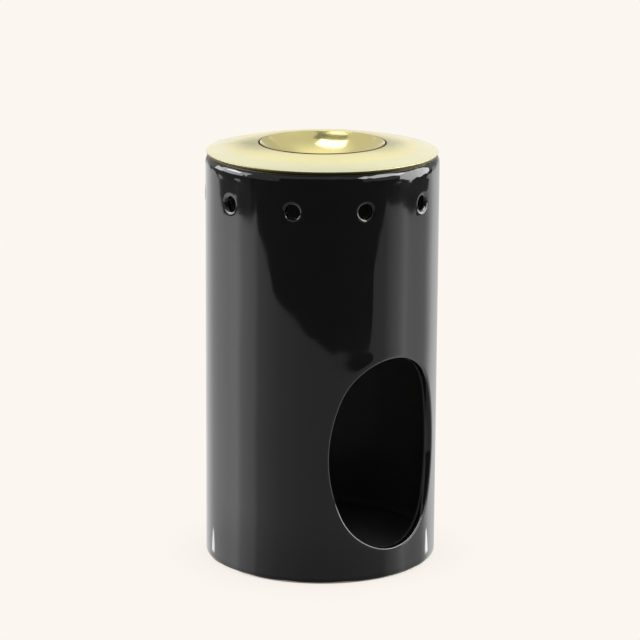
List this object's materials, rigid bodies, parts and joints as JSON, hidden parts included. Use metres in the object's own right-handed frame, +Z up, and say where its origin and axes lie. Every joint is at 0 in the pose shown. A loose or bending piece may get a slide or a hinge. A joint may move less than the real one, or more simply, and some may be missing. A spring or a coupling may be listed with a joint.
{
  "type": "oil burner",
  "caption": "Cylindrical ceramic oil burner with an oval window for a tealight, round air vents under the rim, a lift-off domed cover and a drop-in oil bowl.",
  "frame": {"origin": "middle of the foot, on the table", "axes": "+Z up along the body's axis, -Y out through the middle of the window"},
  "size_m": [0.088, 0.088, 0.1595],
  "materials": {
    "black_glaze": "glossy black glaze",
    "gold_metal": "polished pale gold",
    "cup_aluminium": "drawn foil",
    "wax": "paraffin wax",
    "wick_cotton": "waxed braided cotton",
    "tin": "tinplate"
  },
  "bodies": {
    "burner": {"burner_body": "black_glaze"},
    "cover": {"top_cover": "gold_metal"},
    "bowl": {"oil_bowl": "gold_metal"},
    "tealight": {"tealight_cup": "cup_aluminium", "tealight_wax": "wax", "tealight_wick": "wick_cotton", "wick_sustainer": "tin"}
  },
  "joints": [
    {"name": "cover_lift", "type": "slide", "parent": "burner", "child": "cover", "axis": [0, 0, 1], "range_m": [0, 0.04]},
    {"name": "bowl_lift", "type": "slide", "parent": "cover", "child": "bowl", "axis": [0, 0, 1], "range_m": [0, 0.03]},
    {"name": "tealight_draw", "type": "slide", "parent": "burner", "child": "tealight", "axis": [0.2302, -0.8162, 0.5299], "range_m": [0, 0.095]}
  ]
}
